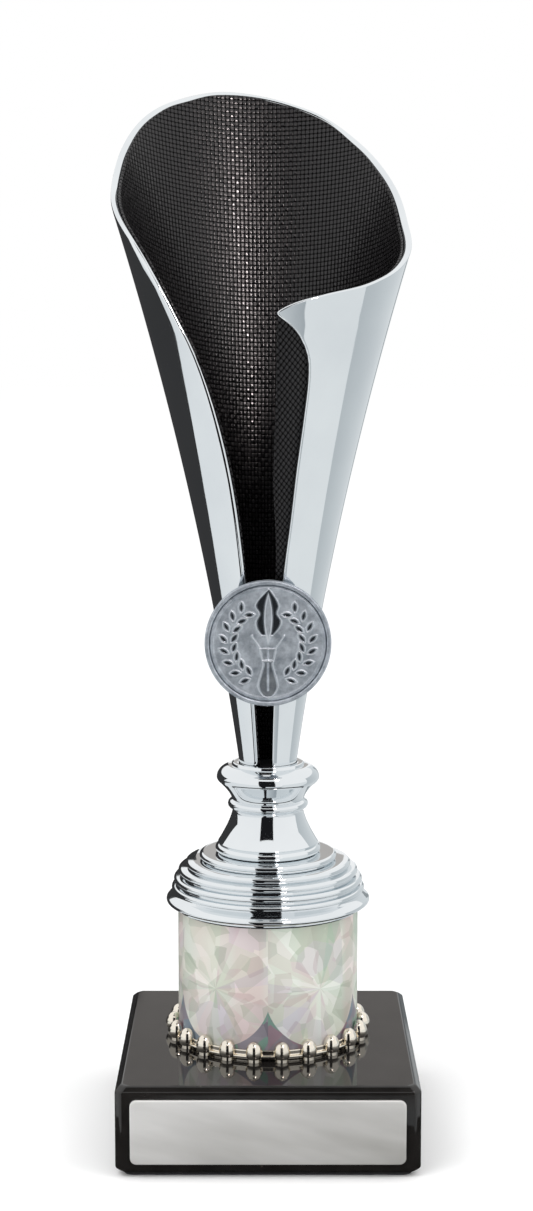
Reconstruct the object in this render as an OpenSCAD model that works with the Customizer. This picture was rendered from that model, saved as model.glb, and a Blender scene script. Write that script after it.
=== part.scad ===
// Rolled-cone cup trophy on a beaded column and a stone base, in millimetres.
// +Z is up, the front faces -Y, and the origin is on the resting face under the column's axis.

/* [Base] */
// Width of the stone block, left to right
base_w = 60; // [50:1:90]
// Depth of the stone block, front to back
base_d = 64; // [54:1:90]
// Height of the stone block without its felt
base_h = 17.7; // [14:0.1:40]
// Chamfer on every edge of the stone block
base_chamfer = 1.1; // [0.4:0.1:2]
// How far the column's axis stands behind the middle of the block
column_setback = 3; // [0:0.5:5]
// Thickness of the felt sheet under the block
felt_t = 0.6; // [0.4:0.1:2]
// Margin of bare stone around the felt sheet
felt_margin = 1.6; // [1.2:0.1:4]

/* [Nameplate] */
// Width of the engraving plate
plate_w = 54; // [30:1:56]
// Height of the engraving plate
plate_h = 13; // [8:0.5:14]
// Thickness of the engraving plate
plate_t = 0.6; // [0.4:0.1:1.5]
// Corner radius of the engraving plate
plate_corner_r = 1.3; // [0.5:0.1:4]
// Thickness of the adhesive tape behind the plate and behind the medallion saddle
tape_t = 0.2; // [0.1:0.05:0.6]

/* [Fixings] */
// Diameter of the tie rod that clamps the stack
rod_d = 5; // [4:0.5:6]
// Size across the flats of both nuts
nut_af = 8; // [7:0.5:10]
// Thickness of both nuts
nut_t = 4; // [3:0.1:5]
// Outside diameter of the flat washer
washer_d = 15; // [12:0.5:18]
// Thickness of the flat washer
washer_t = 1; // [0.8:0.1:2]
// Thickness of the split lock washer
lock_t = 1.2; // [0.8:0.1:2]
// Diameter of the fixing recess under the block
recess_d = 20; // [19:0.5:28]
// Depth of the fixing recess under the block
recess_depth = 8; // [7.8:0.1:10]
// Diametral clearance of the rod in every hole
rod_clearance = 0.4; // [0.2:0.1:1]

/* [Column] */
// Outside radius of the column tube
tube_r = 18.5; // [15:0.5:23]
// Wall of the column tube
tube_wall = 1.5; // [1:0.1:3]
// Length of the column tube
tube_len = 26.6; // [16:0.1:80]
// Thickness of the prismatic film around the tube
foil_t = 0.2; // [0.1:0.05:0.5]
// Number of beads around the collar
bead_count = 22; // [12:1:30]
// Widest radius of one bead
bead_r = 1.75; // [1:0.05:2]
// Height of one bead
bead_h = 4.1; // [2.5:0.1:5]
// Thickness of the collar's floor and of its foot flange under the beads
collar_floor = 1.2; // [0.8:0.1:3]
// Radial clearance between the tube and what it slides into or over
slip_gap = 0.1; // [0.05:0.05:0.4]

/* [Stepped cap] */
// How far each moulded ring stands past the tube, and its height above the tube, lowest first
cap_steps = [[1.5, 3.6], [1.05, 5.4], [0.1, 7.2], [-1.4, 8.7], [-4.3, 10.3]];
// Thickness of each moulded ring
cap_ring_t = 1.3; // [0.8:0.1:1.4]
// How deep the grooves go behind the rings
cap_groove = 0.8; // [0.4:0.1:1.2]
// How far the lowest flange stands out past the tube
cap_flange_out = 2.6; // [1.4:0.1:4]
// Wall of the cap, the stem and the collar, which are moulded hollow
moulding_wall = 1.4; // [1:0.1:2]
// How far the cap's spigot reaches down into the tube
cap_spigot = 5; // [2:0.5:9]

/* [Stem] */
// Radius of the stem's foot
stem_foot_r = 10.9; // [9:0.1:13]
// Height of the flared foot up to the waist
stem_foot_h = 8.9; // [7:0.1:20]
// Radius of the stem at its waist
stem_waist_r = 7.35; // [6.6:0.05:9]
// Radius of the small bead above the waist
stem_bead_r = 8.3; // [7.8:0.1:10]
// Radius of the wide ring below the cup
stem_bulge_r = 10.6; // [9.6:0.1:13]
// Height from the waist to the top of the stem
stem_top_h = 10.05; // [9:0.05:16]
// How deep the cup sits in the stem
cup_socket = 3.5; // [2.5:0.1:5]

/* [Cup] */
// Height of the cup from its seat to the highest point of its rim
cup_h = 142.2; // [90:0.1:220]
// Outside radius of the cup at its seat
cup_foot_r = 5.45; // [5:0.05:7.5]
// Outside radius that the cone reaches at the highest point of its rim
cup_mouth_r = 39.8; // [28:0.1:60]
// Share of the flare that comes from the curve and not from the straight cone
cup_flare = 0.44; // [0:0.01:0.8]
// Wall of the cup's shell
shell_wall = 1.5; // [1:0.1:2.2]
// Wall of the woven liner
liner_wall = 0.6; // [0.4:0.05:1]
// How far the liner stops below the shell's rim
liner_drop = 0.6; // [0.3:0.1:4]

/* [Medallion] */
// Outside diameter of the medallion holder
holder_d = 25.2; // [18:0.1:32]
// Width of the holder's raised rim
holder_rim = 0.9; // [0.5:0.1:2]
// Depth of the holder from front to back
holder_t = 2.2; // [1.6:0.1:4]
// Thickness of the medallion disc
medal_t = 0.9; // [0.6:0.1:1.4]
// Height of the relief on the medallion
relief_t = 0.35; // [0.2:0.05:0.6]
// Height of the medallion's centre above the cup's seat
medal_up = 30.3; // [22:0.1:60]
// Width and height of the saddle that joins the holder to the cup
saddle_size = [14, 12];

/* [Hidden] */
$fn = 96;

// Radius and height above the tube of each moulded ring
cap_rings = [for (p = cap_steps) [tube_r + p[0], p[1]]];

// Heights of the stack above the resting face
base_top = felt_t + base_h;
tube_z = base_top + collar_floor;
cap_z = tube_z + tube_len;
ring_count = len(cap_rings);
cap_h = cap_rings[ring_count - 1][1] + cap_ring_t / 2;
stem_z = cap_z + cap_h;
waist_z = stem_z + stem_foot_h;
stem_top = waist_z + stem_top_h;
socket_z = stem_top - cup_socket;
cup_z = socket_z;
pocket_gap = 0.2;
nut_pocket_z = socket_z - nut_t - pocket_gap;
medal_z = cup_z + medal_up;

// Fixings
rod_hole_d = rod_d + rod_clearance;
recess_top = felt_t + recess_depth;
washer_z = recess_top - washer_t;
lock_z = washer_z - lock_t;
base_nut_z = lock_z - nut_t;
rod_spare = 0.9;
rod_z = base_nut_z - rod_spare;
rod_top = socket_z - pocket_gap / 2;
rod_chamfer = 0.5;
lock_d = washer_d - 5;
lock_slot = 0.8;

// Column and its collar
foil_r = tube_r + foil_t;
foil_inset = 0.3;
bead_pitch_r = foil_r + slip_gap + 0.85;
collar_band_t = 0.7;
collar_band_h = 1.5;
collar_flange_r = bead_pitch_r + 0.5;
collar_spigot_h = 4;
spigot_r = tube_r - tube_wall - slip_gap;

// Cap
cap_lip_drop = 0.5;
cap_lip_r = foil_r + slip_gap + 0.45;
cap_flange_r = tube_r + cap_flange_out;
cap_flange_z = 1.1;
cap_flange_t = 1.5;

// Stem
foot_edge_r = 0.9;
foot_band_h = 2 * foot_edge_r;
waist_bead_t = 0.9;
waist_bead_up = 1.3;
neck_up = 2.3;
neck_r = stem_waist_r + 0.13;
bulge_up = stem_top_h - 3.2;
bulge_h = 2.6;
collar_ring_h = 0.6;
socket_r = cup_radius(stem_top) + slip_gap;
stem_collar_r = socket_r + moulding_wall;
curve_steps = 10;

// Cup
tip_angle = 3.2;
left_angle = 337.5;
cup_columns = 48;
cup_rows = 20;
ease = 0.6;
liner_gap = 0.05;
liner_side_gap = 1;
plug_h = 3.2;
// Rim height, as a share of the cup's height, at each angle from the front round by the right
rim_curve = [
    [3.2, 0.671], [12, 0.686], [26, 0.697], [49, 0.712], [75, 0.740],
    [106, 0.792], [124, 0.849], [147, 0.922], [166, 0.972], [191, 1.0],
    [210, 0.986], [226, 0.953], [256, 0.857], [275, 0.814], [290, 0.776],
    [300, 0.737], [313, 0.662], [322, 0.600], [330, 0.505], [335, 0.408],
    [337.5, 0.300]
];
// Angle of the shell's right-hand edge at each share of the cup's height
flap_curve = [
    [0, 7.5], [0.11, 7.5], [0.22, 10], [0.31, 13.8], [0.38, 17], [0.46, 19],
    [0.53, 20.7], [0.585, 21], [0.618, 18.8], [0.651, 11.2], [0.671, 3.2]
];
// Angle of the liner's right-hand edge at each share of the cup's height
liner_curve = [
    [0, -6.5], [0.11, -6.2], [0.31, -5.2], [0.36, -3.7], [0.45, 1],
    [0.55, 3], [0.671, 3.2]
];

// Medallion
medal_fit = 0.1;
medal_r = holder_d / 2 - holder_rim - medal_fit;
holder_back = cup_radius(medal_z + holder_d / 2) + 0.4;
medal_seat = holder_t - medal_t - relief_t - 0.15;
leaf_len = 2.7;
leaf_wide = 1.15;
leaf_gap = 0.45;
leaf_lean = 36;
leaf_count = 8;
wreath_r = medal_r * 0.72;
wreath_start = 22;
wreath_end = 138;

// ---- Curves ----

// Index of the span of curve P that holds x
function span_of(P, x, i = 0) =
    (i >= len(P) - 2 || x < P[i + 1][0]) ? i : span_of(P, x, i + 1);

// Slope of curve P at its point i, taken from its neighbours
function slope_at(P, i) =
    let (a = max(i - 1, 0), b = min(i + 1, len(P) - 1))
    (P[b][1] - P[a][1]) / (P[b][0] - P[a][0]);

// Smooth cubic through the points of P, at x
function smooth(P, x) =
    let (
        i = span_of(P, x),
        h = P[i + 1][0] - P[i][0],
        t = (x - P[i][0]) / h,
        m = slope_at(P, i) * h,
        n = slope_at(P, i + 1) * h
    )
    P[i][1] * (1 + 2 * t) * (1 - t) * (1 - t) + m * t * (1 - t) * (1 - t)
    + P[i + 1][1] * t * t * (3 - 2 * t) - n * t * t * (1 - t);

// Points of an elliptical arc in a profile: centre c, half sizes s, from angle a to angle b
function arc_points(c, s, a, b, steps = curve_steps) =
    [for (i = [0:steps]) let (q = a + (b - a) * i / steps) [c[0] + s[0] * cos(q), c[1] + s[1] * sin(q)]];

// Points of a cove from radius ra at height za to radius rb at height zb, power p, steep end at zb
function cove_points(ra, za, rb, zb, p, steps = curve_steps) =
    [for (i = [0:steps]) let (q = i / steps) [ra + (rb - ra) * pow(q, p), za + (zb - za) * q]];

// ---- Cup surface ----

// Outside radius of the cone at height z
function cup_radius(z) =
    let (q = (z - cup_z) / cup_h)
    cup_foot_r + (cup_mouth_r - cup_foot_r) * ((1 - cup_flare) * q + cup_flare * q * q);

// Share that runs faster at first and slower at the end, so that the rows crowd at 1
function eased(q) = q * (1 + ease) - ease * q * q;

// Point of a rolled sheet: column share s, row share v, inset from the cone, edge curve, rim drop and floor
function sheet_point(s, v, inset, edge, drop, floor_z, end_angle) =
    let (
        a = tip_angle + (end_angle - tip_angle) * eased(s),
        top = cup_z + cup_h * smooth(rim_curve, min(a, left_angle)) - drop,
        z = floor_z + (top - floor_z) * eased(v),
        tip_z = cup_z + cup_h * rim_curve[0][1] - drop,
        edge_q = rim_curve[0][1] * (z - floor_z) / (tip_z - floor_z),
        b = a + (smooth(edge, min(edge_q, rim_curve[0][1])) - tip_angle) * pow(1 - s, 4),
        r = cup_radius(z) - inset
    )
    [r * sin(b), -r * cos(b), z];

// Closed sheet between an outer and an inner inset, with columns round the axis and rows up the wall
module rolled_sheet(outer, inner, edge, drop, floor_z, end_angle) {
    columns = cup_columns + 1;
    rows = cup_rows + 1;
    count = columns * rows;
    points = [
        for (inset = [outer, inner])
            for (i = [0:cup_columns])
                for (j = [0:cup_rows])
                    sheet_point(i / cup_columns, j / cup_rows, inset, edge, drop, floor_z, end_angle)
    ];
    outside = [
        for (i = [0:cup_columns - 1])
            for (j = [0:cup_rows - 1])
                let (a = i * rows + j, b = a + rows)
                each [[a, a + 1, b + 1], [a, b + 1, b]]
    ];
    inside = [for (f = outside) [f[2] + count, f[1] + count, f[0] + count]];
    bottom = [
        for (i = [0:cup_columns - 1])
            let (a = i * rows, b = a + rows)
            each [[a, b, b + count], [a, b + count, a + count]]
    ];
    top = [
        for (i = [0:cup_columns - 1])
            let (a = i * rows + cup_rows, b = a + rows)
            each [[b, a, a + count], [b, a + count, b + count]]
    ];
    near = [
        for (j = [0:cup_rows - 1])
            let (a = j)
            each [[a + 1, a, a + count], [a + 1, a + count, a + 1 + count]]
    ];
    far = [
        for (j = [0:cup_rows - 1])
            let (a = cup_columns * rows + j)
            each [[a, a + 1, a + 1 + count], [a, a + 1 + count, a + count]]
    ];
    polyhedron(points, concat(outside, inside, bottom, top, near, far));
}

// Solid of the cone between two heights, grown by a gap
module cone_body(gap, z0, z1) {
    steps = 8;
    wall = [for (i = [0:steps]) let (z = z0 + (z1 - z0) * i / steps) [cup_radius(z) + gap, z]];
    rotate_extrude()
        polygon(concat([[0, z0]], wall, [[0, z1]]));
}

// ---- Shared shapes ----

// Rectangle with its four corners cut
module cut_rectangle(w, h, c) {
    polygon([
        [-w / 2 + c, -h / 2], [w / 2 - c, -h / 2], [w / 2, -h / 2 + c], [w / 2, h / 2 - c],
        [w / 2 - c, h / 2], [-w / 2 + c, h / 2], [-w / 2, h / 2 - c], [-w / 2, -h / 2 + c]
    ]);
}

// Rectangle with round corners
module round_rectangle(w, h, r) {
    square([w - 2 * r, h], center = true);
    square([w, h - 2 * r], center = true);
    for (x = [-1, 1])
        for (y = [-1, 1])
            translate([x * (w / 2 - r), y * (h / 2 - r)])
                circle(r = r);
}

// Hole for the tie rod, through everything between two heights
module rod_hole(z0, z1) {
    translate([0, 0, z0])
        cylinder(d = rod_hole_d, h = z1 - z0);
}

// Flat ring or washer lying on height z
module flat_ring(outer_d, inner_d, z, t) {
    translate([0, 0, z])
        difference() {
            cylinder(d = outer_d, h = t);
            translate([0, 0, -1])
                cylinder(d = inner_d, h = t + 2);
        }
}

// Hexagon nut on the tie rod, with its bore on the rod's own diameter
module hex_nut(z) {
    translate([0, 0, z])
        difference() {
            cylinder(d = nut_af / cos(30), h = nut_t, $fn = 6);
            translate([0, 0, -1])
                cylinder(d = rod_d, h = nut_t + 2);
        }
}

// ---- Base ----

module base_block() {
    color("#24221f")
    translate([0, -column_setback, felt_t])
        difference() {
            intersection() {
                linear_extrude(base_h)
                    cut_rectangle(base_w, base_d, base_chamfer);
                translate([0, base_d / 2, base_h / 2])
                    rotate([90, 0, 0])
                        linear_extrude(base_d)
                            cut_rectangle(base_w, base_h, base_chamfer);
                translate([-base_w / 2, 0, base_h / 2])
                    rotate([90, 0, 90])
                        linear_extrude(base_w)
                            cut_rectangle(base_d, base_h, base_chamfer);
            }
            translate([0, column_setback, -1])
                cylinder(d = recess_d, h = recess_depth + 1);
            translate([0, column_setback, -felt_t])
                rod_hole(-1, base_top + 1);
        }
}

module base_felt() {
    color("#1d1d1f")
    translate([0, -column_setback, 0])
        linear_extrude(felt_t)
            round_rectangle(base_w - 2 * felt_margin, base_d - 2 * felt_margin, 2);
}

// Places a flat drawing on the block's front face, standing out from a gap to a gap plus t
module on_front(gap, t) {
    translate([0, -column_setback - base_d / 2 - gap, felt_t + base_h / 2])
        rotate([90, 0, 0])
            linear_extrude(t)
                children();
}

module nameplate() {
    color("#c4c4c0")
    on_front(tape_t, plate_t)
        round_rectangle(plate_w, plate_h, plate_corner_r);
}

module nameplate_tape() {
    tape_inset = 2;
    color("#e6e2d4")
    on_front(0, tape_t)
        square([plate_w - 2 * tape_inset, plate_h - 2 * tape_inset], center = true);
}

// ---- Fixings ----

module tie_rod() {
    r = rod_d / 2;
    color("#b4b4b0")
    rotate_extrude()
        polygon([
            [0, rod_z], [r - rod_chamfer, rod_z], [r, rod_z + rod_chamfer],
            [r, rod_top - rod_chamfer], [r - rod_chamfer, rod_top], [0, rod_top]
        ]);
}

module base_washer() {
    color("#c8c8c4")
    flat_ring(washer_d, rod_hole_d, washer_z, washer_t);
}

module base_lock_washer() {
    color("#8f8f8b")
    difference() {
        flat_ring(lock_d, rod_hole_d, lock_z, lock_t);
        translate([0, -lock_slot / 2, lock_z - 1])
            cube([lock_d, lock_slot, lock_t + 2]);
    }
}

module base_nut() {
    color("#c0bfb6")
    hex_nut(base_nut_z);
}

module stem_nut() {
    color("#c0bfb6")
    hex_nut(nut_pocket_z);
}

// ---- Column ----

// Profile of one egg-shaped bead, wider below its middle
function bead_profile() =
    concat(
        [[0, 0], [bead_r * 0.72, 0]],
        arc_points([0, bead_h * 0.42], [bead_r, bead_h * 0.40], -40, 0, 3),
        arc_points([0, bead_h * 0.42], [bead_r, bead_h * 0.58], 12, 78, 5),
        [[0, bead_h]]
    );

module bead_collar() {
    band_r = foil_r + slip_gap;
    color("#d9d9d6")
    translate([0, 0, base_top]) {
        difference() {
            union() {
                cylinder(r = collar_flange_r, h = collar_floor);
                cylinder(r = band_r + collar_band_t, h = collar_floor + collar_band_h);
            }
            translate([0, 0, collar_floor])
                cylinder(r = band_r, h = collar_band_h + 1);
            rod_hole(-1, collar_floor + 1);
        }
        translate([0, 0, collar_floor])
            difference() {
                cylinder(r = spigot_r, h = collar_spigot_h);
                translate([0, 0, -1])
                    cylinder(r = spigot_r - moulding_wall, h = collar_spigot_h + 2);
            }
        difference() {
            for (i = [0:bead_count - 1])
                rotate([0, 0, (i + 0.5) * 360 / bead_count])
                    translate([0, -bead_pitch_r, 0])
                        rotate_extrude($fn = 24)
                            polygon(bead_profile());
            translate([0, 0, collar_floor])
                cylinder(r = band_r, h = bead_h + 1);
        }
    }
}

module column_tube() {
    color("#e9e6e0")
    flat_ring(2 * tube_r, 2 * (tube_r - tube_wall), tube_z, tube_len);
}

module column_foil() {
    color("#c5c7bb")
    flat_ring(2 * foil_r, 2 * tube_r, tube_z + foil_inset, tube_len - 2 * foil_inset);
}

// Outer profile of the cap without its rings, from the lip to the top
function cap_body_points() =
    concat(
        [[cap_lip_r, -cap_lip_drop], [cap_lip_r, 0.1]],
        arc_points([cap_flange_r - cap_flange_t / 2, cap_flange_z], [cap_flange_t / 2, 0.6], -90, 60, 8),
        [for (p = cap_rings) [p[0] - cap_groove, p[1] - cap_ring_t / 2]],
        [[cap_rings[ring_count - 1][0] - cap_groove, cap_h]]
    );

module stepped_cap() {
    top_r = cap_rings[ring_count - 1][0] - cap_groove - moulding_wall;
    color("#d6d9db")
    translate([0, 0, cap_z])
        difference() {
            union() {
                rotate_extrude()
                    polygon(concat([[0, -cap_lip_drop]], cap_body_points(), [[0, cap_h]]));
                for (p = cap_rings)
                    translate([0, 0, p[1]])
                        rotate_extrude() {
                            translate([0, -cap_ring_t / 2])
                                square([p[0] - cap_ring_t / 2, cap_ring_t]);
                            translate([p[0] - cap_ring_t / 2, 0])
                                circle(d = cap_ring_t, $fn = 32);
                        }
                translate([0, 0, -cap_spigot])
                    cylinder(r = spigot_r, h = cap_spigot);
            }
            // Room for the tube's top edge
            translate([0, 0, -cap_lip_drop - 1])
                difference() {
                    cylinder(r = foil_r + slip_gap, h = cap_lip_drop + 1);
                    translate([0, 0, -1])
                        cylinder(r = spigot_r, h = cap_lip_drop + 3);
                }
            // Hollow inside
            translate([0, 0, -cap_spigot - 1])
                cylinder(r = spigot_r - moulding_wall, h = cap_spigot + 1 + cap_rings[0][1]);
            translate([0, 0, cap_rings[0][1] - 0.1])
                cylinder(r1 = spigot_r - moulding_wall, r2 = top_r, h = cap_h - cap_rings[0][1] - 2 * moulding_wall);
            rod_hole(-1, cap_h + 1);
        }
}

// ---- Stem ----

// Outer profile of the stem from its foot to its collar, heights from the foot
function stem_points() =
    let (
        bead_up = stem_foot_h + waist_bead_up,
        neck_z = stem_foot_h + neck_up,
        bulge_z = stem_foot_h + bulge_up,
        top_z = stem_foot_h + stem_top_h,
        under_r = stem_bulge_r - 0.3
    )
    concat(
        arc_points([stem_foot_r - foot_edge_r, foot_edge_r], [foot_edge_r, foot_edge_r], -90, 80, 8),
        [for (i = [0:curve_steps]) let (q = i / curve_steps)
            [stem_waist_r + (stem_foot_r - 0.3 - stem_waist_r) * pow(1 - q, 1.4),
                foot_band_h + (stem_foot_h - foot_band_h) * q]],
        arc_points([stem_bead_r - waist_bead_t, bead_up], [waist_bead_t, waist_bead_t], -75, 75, 8),
        cove_points(neck_r, neck_z, under_r, bulge_z - 0.7, 1.5),
        arc_points([stem_bulge_r - 2.9, bulge_z], [2.9, bulge_h], 0, 88),
        [[stem_collar_r, top_z - collar_ring_h], [stem_collar_r, top_z - 0.15], [stem_collar_r - 0.15, top_z]]
    );

module stem() {
    stem_h = stem_foot_h + stem_top_h;
    color("#dadddf")
    difference() {
        translate([0, 0, stem_z])
            rotate_extrude()
                polygon(concat([[0, 0]], stem_points(), [[0, stem_h]]));
        translate([0, 0, socket_z])
            cylinder(r = socket_r, h = cup_socket + 1);
        translate([0, 0, nut_pocket_z])
            cylinder(d = (nut_af + pocket_gap) / cos(30), h = nut_t + 1, $fn = 6);
        rod_hole(stem_z - 1, socket_z + 1);
        // Hollow under the flared foot
        translate([0, 0, stem_z - 1])
            cylinder(r = stem_waist_r - moulding_wall, h = 1 + stem_foot_h / 2);
    }
}

// ---- Cup ----

module cup_shell() {
    color("#dbdfe1")
    rolled_sheet(0, shell_wall, flap_curve, 0, cup_z, left_angle);
}

module cup_liner() {
    outer = shell_wall + liner_gap;
    color("#2a282b")
    rolled_sheet(outer, outer + liner_wall, liner_curve, liner_drop, cup_z + plug_h,
        left_angle - liner_side_gap);
}

module cup_plug() {
    color("#3a3a3c")
    translate([0, 0, cup_z])
        cylinder(r1 = cup_radius(cup_z) - shell_wall - slip_gap,
            r2 = cup_radius(cup_z + plug_h) - shell_wall - slip_gap, h = plug_h);
}

// ---- Medallion ----

// Turns a drawing to face the front, its back on distance back from the axis
module facing_front(back) {
    translate([0, -back, medal_z])
        rotate([90, 0, 0])
            children();
}

module saddle_block(front_room) {
    translate([-saddle_size[0] / 2, -holder_back - front_room, medal_z - saddle_size[1] / 2])
        cube([saddle_size[0], holder_back + front_room, saddle_size[1]]);
}

module medallion_holder() {
    low = medal_z - saddle_size[1];
    high = medal_z + saddle_size[1];
    color("#9fa6ac")
    union() {
        facing_front(holder_back)
            difference() {
                cylinder(d = holder_d, h = holder_t);
                translate([0, 0, medal_seat])
                    cylinder(r = medal_r + medal_fit, h = holder_t);
            }
        difference() {
            saddle_block(0.1);
            cone_body(tape_t, low, high);
            translate([-holder_d, 0, low])
                cube([2 * holder_d, holder_d, high - low]);
        }
    }
}

module medallion_tape() {
    low = medal_z - saddle_size[1];
    high = medal_z + saddle_size[1];
    color("#e6e2d4")
    for (side = [-1, 1])
        intersection() {
            difference() {
                cone_body(tape_t, low, high);
                cone_body(0.02, low - 1, high + 1);
            }
            translate([side * (saddle_size[0] / 2 - 1), -holder_back / 2 - 2, medal_z])
                cube([2, holder_back, saddle_size[1] - 1], center = true);
        }
}

// Leaf as the lens where two circles meet, pointing along +Y
module leaf(long, wide) {
    r = (long * long + wide * wide) / (4 * wide);
    intersection() {
        translate([r - wide / 2, long / 2])
            circle(r = r, $fn = 48);
        translate([wide / 2 - r, long / 2])
            circle(r = r, $fn = 48);
    }
}

// Pairs of leaves up one side, each leaf standing clear of the next, round the torch
module wreath_half() {
    for (i = [0:leaf_count - 1])
        rotate(wreath_start + i * (wreath_end - wreath_start) / (leaf_count - 1))
            translate([0, -wreath_r])
                for (side = [-1, 1])
                    rotate(-90 + side * leaf_lean)
                        translate([0, leaf_gap])
                            leaf(leaf_len, leaf_wide);
}

module torch() {
    polygon([[-0.5, -8.6], [0.5, -8.6], [1.1, -0.4], [-1.1, -0.4]]);
    polygon([[-1.6, 0], [1.6, 0], [2.3, 1.6], [-2.3, 1.6]]);
    translate([0, 1.9])
        leaf(6.2, 2.2);
    for (side = [-1, 1])
        translate([side * 1.7, 1.9])
            rotate(-side * 12)
                leaf(4.2, 1.1);
}

module medallion() {
    color("#8b9299")
    facing_front(holder_back + medal_seat) {
        cylinder(r = medal_r, h = medal_t);
        linear_extrude(medal_t + relief_t) {
            torch();
            wreath_half();
            mirror([1, 0])
                wreath_half();
        }
    }
}

base_block();
base_felt();
nameplate();
nameplate_tape();
tie_rod();
base_washer();
base_lock_washer();
base_nut();
bead_collar();
column_tube();
column_foil();
stepped_cap();
stem();
stem_nut();
cup_shell();
cup_liner();
cup_plug();
medallion_holder();
medallion();
medallion_tape();
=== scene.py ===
import math

import bmesh
import bpy
import numpy as np
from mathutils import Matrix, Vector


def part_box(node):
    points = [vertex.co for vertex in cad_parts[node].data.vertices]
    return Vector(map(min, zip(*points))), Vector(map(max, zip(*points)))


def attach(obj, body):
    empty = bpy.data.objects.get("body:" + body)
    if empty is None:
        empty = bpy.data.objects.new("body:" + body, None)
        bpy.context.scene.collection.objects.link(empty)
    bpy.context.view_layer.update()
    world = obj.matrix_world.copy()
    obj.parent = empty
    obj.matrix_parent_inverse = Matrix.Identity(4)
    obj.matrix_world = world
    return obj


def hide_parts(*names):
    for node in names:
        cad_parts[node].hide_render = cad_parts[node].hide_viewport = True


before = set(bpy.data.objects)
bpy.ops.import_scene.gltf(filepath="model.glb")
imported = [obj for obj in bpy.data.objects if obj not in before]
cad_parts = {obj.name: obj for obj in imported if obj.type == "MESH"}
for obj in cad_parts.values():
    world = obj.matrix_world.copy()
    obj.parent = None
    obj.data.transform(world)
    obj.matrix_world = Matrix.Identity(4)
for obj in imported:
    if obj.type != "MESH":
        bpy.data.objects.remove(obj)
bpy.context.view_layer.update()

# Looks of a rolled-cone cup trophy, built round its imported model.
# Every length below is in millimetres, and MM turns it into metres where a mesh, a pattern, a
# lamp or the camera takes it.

MM = 0.001
TURN = 2 * math.pi
FAR = 1e9


def node_box(node):
    """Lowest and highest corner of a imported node, in millimetres."""
    low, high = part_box(node)
    return np.array(low) / MM, np.array(high) / MM


# ---- Sizes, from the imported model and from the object's own driving dimensions ----

BLOCK_LOW, BLOCK_HIGH = node_box("base_block")
TUBE_HIGH = node_box("column_tube")[1]
FOIL_LOW, FOIL_HIGH = node_box("column_foil")
STEM_HIGH = node_box("stem")[1]
CUP_LOW = node_box("cup_shell")[0]
HOLDER_LOW, HOLDER_HIGH = node_box("medallion_holder")
MEDAL_HIGH = node_box("medallion")[1]

BASE_TOP = BLOCK_HIGH[2]
TUBE_R = TUBE_HIGH[0]
FOIL_R = FOIL_HIGH[0]
CAP_Z = TUBE_HIGH[2]
CUP_Z = CUP_LOW[2]
ROD_HOLE_R = 2.7
SLIP_GAP = 0.1
WALL = 1.4
TUBE_WALL = 1.5
SPIGOT_R = TUBE_R - TUBE_WALL - SLIP_GAP

# Cup: height of the rolled cone, radius at its foot and mouth, and share of its flare that is curved
CUP_H = 142.2
CUP_FOOT_R = 5.45
CUP_MOUTH_R = 39.8
CUP_FLARE = 0.44
SHELL_T = 1.5
LINER_T = 0.6
LINER_DROP = 0.6
# Angles from the front round by the right: the sheet's far edge, and its tip before it is blunted
LEFT_ANGLE = 337.5
TIP_ANGLE = 1.0
TIP_SHARE = 0.671
NOSE = 1.2
# Rim height, as a share of the cup's height, at each angle from the front round by the right
RIM_CURVE = np.array([
    [TIP_ANGLE, TIP_SHARE], [12, 0.686], [26, 0.697], [49, 0.712], [75, 0.740],
    [106, 0.792], [124, 0.849], [147, 0.922], [166, 0.972], [191, 1.0],
    [210, 0.986], [226, 0.953], [256, 0.857], [275, 0.814], [290, 0.776],
    [300, 0.737], [313, 0.662], [322, 0.600], [330, 0.505], [335, 0.408],
    [337.5, 0.300],
])
# Angle of the shell's right-hand edge at each share of the cup's height
FLAP_CURVE = np.array([
    [0, 7.5], [0.11, 7.5], [0.22, 10], [0.31, 13.8], [0.38, 17], [0.46, 19],
    [0.53, 20.7], [0.585, 21], [0.618, 18.8], [0.651, 11.2], [TIP_SHARE, TIP_ANGLE],
])
# Angle of the liner's right-hand edge at each share of the cup's height
LINER_CURVE = np.array([
    [0, -6.5], [0.11, -6.2], [0.31, -5.2], [0.36, -3.7], [0.45, 1],
    [0.55, 3.0], [TIP_SHARE, 3.2],
])


# ---- Curves ----

def smooth(curve, x):
    """Height of a curve through given points: a cubic on each span whose slope at a point is
    the slope between that point's two neighbours."""
    xs, ys = curve[:, 0], curve[:, 1]
    last = len(xs) - 1
    before = np.maximum(np.arange(last + 1) - 1, 0)
    after = np.minimum(np.arange(last + 1) + 1, last)
    slopes = (ys[after] - ys[before]) / (xs[after] - xs[before])
    x = np.clip(x, xs[0], xs[-1])
    i = np.clip(np.searchsorted(xs, x, side="right") - 1, 0, last - 1)
    span = xs[i + 1] - xs[i]
    t = (x - xs[i]) / span
    start = ys[i] * (1 + 2 * t) * (1 - t) ** 2 + slopes[i] * span * t * (1 - t) ** 2
    end = ys[i + 1] * t ** 2 * (3 - 2 * t) - slopes[i + 1] * span * t ** 2 * (1 - t)
    return start + end


def arc(centre, half, first, last, steps):
    """Points of an ellipse's arc: centre plus half sizes times cosine and sine, between two angles."""
    angles = np.radians(np.linspace(first, last, steps + 1))
    return np.stack([centre[0] + half[0] * np.cos(angles), centre[1] + half[1] * np.sin(angles)], 1)


def round_cornered(x, y, corner):
    """Closed outline of a rectangle whose corners are quarter circles about the points x, y."""
    quarters = [arc((side * x, end * y), (corner, corner), first, first + 90, 8)
                for side, end, first in [(1, 1, 0), (-1, 1, 90), (-1, -1, 180), (1, -1, 270)]]
    return np.vstack(quarters + [quarters[0][:1]])


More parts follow.
